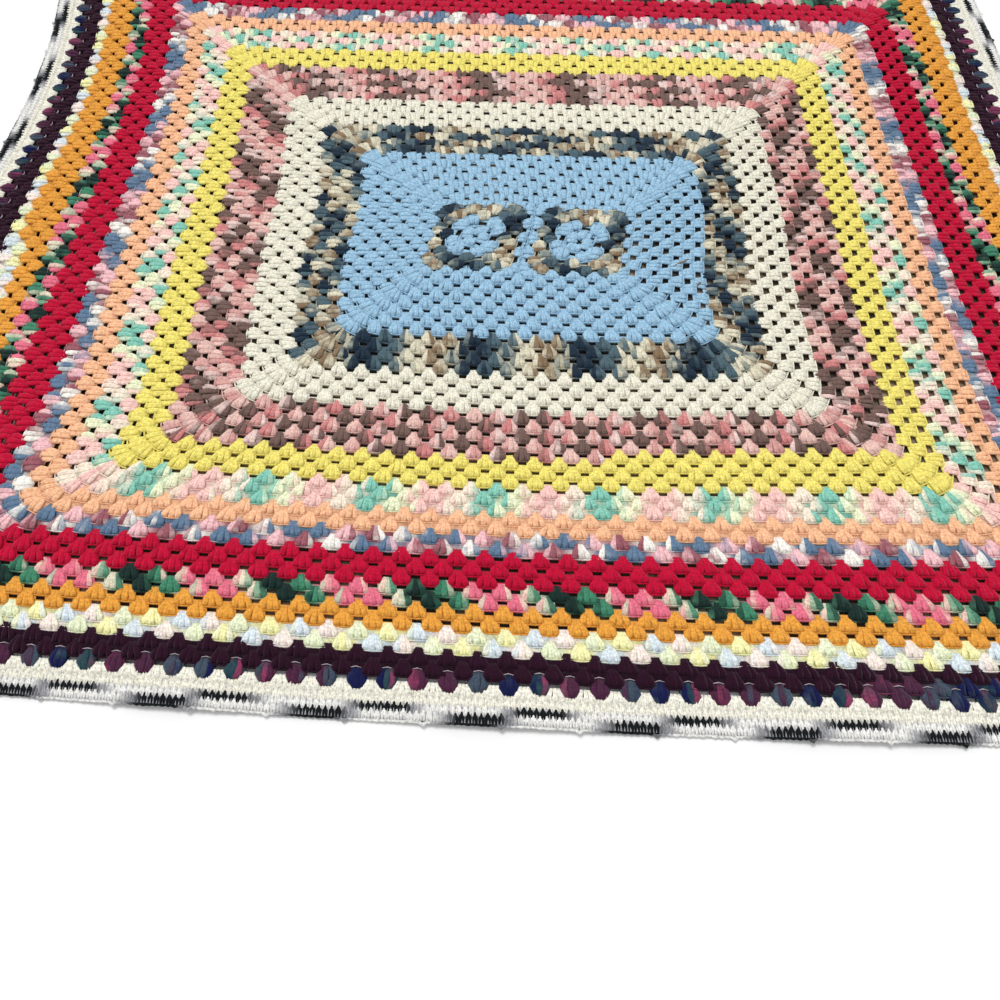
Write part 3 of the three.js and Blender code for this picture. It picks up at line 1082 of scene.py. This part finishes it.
# Painted shade: the white strip of the backing is coloured darker than its yarn.
WHITE_BACKING_PAINTED_SHADE = 0.85
GREY_PLACE = 9.4  # where the dashed yarn is grey


def edging_ground():
    """Rectangles of the edging's backing: three strips round the afghan, and their colours."""
    rectangles, colours = [], []
    # The white strip carries painted shade.
    white = yarn_colour("white", np.zeros(1))[0] * WHITE_BACKING_PAINTED_SHADE
    grey = yarn_colour("dashed", np.array([GREY_PLACE]))[0]
    strips = list(zip(BACKING_STEPS[:-1], BACKING_STEPS[1:]))
    most = round(ROUNDS_WIDTH / PITCH)
    cells = [c * PITCH for c in range(-most, most + 1)]
    for (near, far), colour in zip(strips, (white, grey, grey)):
        for side, (out, along) in enumerate(SIDES):
            inner, half = last_round_reach(side)
            stops = [-half] + [c for c in cells if abs(c) < half - MM] + [half]
            spans = list(zip(stops[:-1], stops[1:]))
            # Past each corner the strips of the two sides share a small square of strips.
            spans += [(half + a, half + b) for a, b in strips if b <= near]
            spans += [(-half - b, -half - a) for a, b in strips if b <= near]
            spans += [(half + near, half + far)]
            for a, b in spans:
                rectangles.append(rectangle(out, along, a, b, inner + near, inner + far))
                colours.append(colour)
    return rectangles, colours


def build_edging():
    """The edging: white rows with their peaks, dashed rows with the edge chain, over one backing."""
    rows = {"white": [joined(peaks(), rounds_cloth)], "dashed": []}
    for yarn, depth, height, start in EDGING_ROWS:
        rows[yarn].append(edging_row(yarn, depth, height, start))
    rows["dashed"].append(edge_chain(EDGING_ROWS[-1][3]))
    pieces = []
    for yarn, shapes in rows.items():
        pieces.append(make_piece("edging_" + yarn, joined(shapes, lay), MATERIALS[yarn]))
    shape = joined([sheet_from_rectangles(*edging_ground())], lay)
    backing = make_piece("edging_ground", shape, GROUND_MATERIAL)
    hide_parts("edging")
    return backing, pieces


edging_backing, edging_pieces = build_edging()

# ---- Floor, light and camera ----


def mottled_material(name, colours, scale, stops=(0.35, 0.65)):
    """A dull surface that drifts between two linear colours. scale is how fast it changes each way."""
    finish = Finish(name)
    place = finish.add("TexCoord", {}).outputs["Object"]
    stretched = finish.add("Mapping", {"Vector": place, "Scale": scale}).outputs["Vector"]
    ramp = finish.add("ValToRGB", {"Fac": finish.noise(stretched, 1, 2)})
    for element, stop, colour in zip(ramp.color_ramp.elements, stops, colours):
        element.position = stop
        element.color = (*colour, 1)
    finish.fill(finish.shader, {"Base Color": ramp.outputs["Color"]})
    finish.fill(finish.shader, {"Roughness": 0.9, "Specular IOR Level": 0.1})
    return finish.material


def stage_sheet(name, corners, z, material):
    """A flat sheet of the stage through four corners."""
    mesh = bpy.data.meshes.new(name)
    mesh.from_pydata([(x, y, z) for x, y in corners], [], [(0, 1, 2, 3)])
    mesh.materials.append(material)
    new_object(name, mesh)


FLOOR_REACH = 12.0
floor_corners = [(FLOOR_REACH * x, FLOOR_REACH * y) for x, y in ((-1, -1), (1, -1), (1, 1), (-1, 1))]
floor_material = mottled_material("pale_floor", [(0.86, 0.86, 0.86), (0.88, 0.88, 0.88)], (3, 3, 3))
stage_sheet("floor", floor_corners, -0.3 * MM, floor_material)

# Darker cloths lie under the afghan and show through its holes: a wide one that stops short of the edge, and
# on it three tan strips and a pink one.
DARK_TONES = [(0.05, 0.04, 0.03), (0.34, 0.26, 0.18)]
TAN_TONES = [(0.20, 0.14, 0.09), (0.42, 0.31, 0.21)]
PINK_TONES = [(0.55, 0.36, 0.34), (0.85, 0.72, 0.70)]
# Each cloth: name, left, near, right and far edge in heights, how high it lies, tones.
CLOTHS_BELOW = [
    ("dark_cloth_below", -51.0, -44.6, 51.0, 45.5, -0.2 * MM, DARK_TONES),
    ("near_strip_below", -38.0, -33.6, 38.0, -26.0, -0.1 * MM, TAN_TONES),
    ("far_strip_below", -38.0, 27.0, 38.0, 33.0, -0.1 * MM, TAN_TONES),
    ("right_strip_below", 31.5, -25.9, 38.0, 26.9, -0.1 * MM, TAN_TONES),
    ("left_strip_below", -43.4, -33.6, -40.4, 4.0, -0.1 * MM, PINK_TONES),
]
for name, left, near, right, far, z, tones in CLOTHS_BELOW:
    flat = np.array([(left, near, 0), (right, near, 0), (right, far, 0), (left, far, 0)]) * HEIGHT
    material = mottled_material(name, tones, (14, 5, 1), (0.52, 0.66))
    stage_sheet(name, [tuple(p[:2]) for p in lay(flat)], z, material)

world = bpy.data.worlds.new("studio")
world.use_nodes = True
background = world.node_tree.nodes["Background"]
background.inputs["Color"].default_value = (1, 1, 1, 1)
background.inputs["Strength"].default_value = 0.68
scene.world = world

sun_data = bpy.data.lights.new("soft_key", "SUN")
sun_data.energy = 1.8
sun_data.angle = math.radians(25)
sun = new_object("soft_key", sun_data)
sun.rotation_euler = (math.radians(-22), math.radians(-14), 0)

camera_data = bpy.data.cameras.new("camera")
camera_data.lens = 30.6
camera_data.sensor_width = 36
camera_data.clip_start = 0.05
camera_data.clip_end = 100
camera = new_object("camera", camera_data)
camera.location = (-0.0761, -0.7636, 0.763)
camera.rotation_euler = (math.radians(27.60), math.radians(-1.855), math.radians(-0.56))
scene.camera = camera

scene.view_settings.view_transform = "Standard"
scene.view_settings.look = "None"
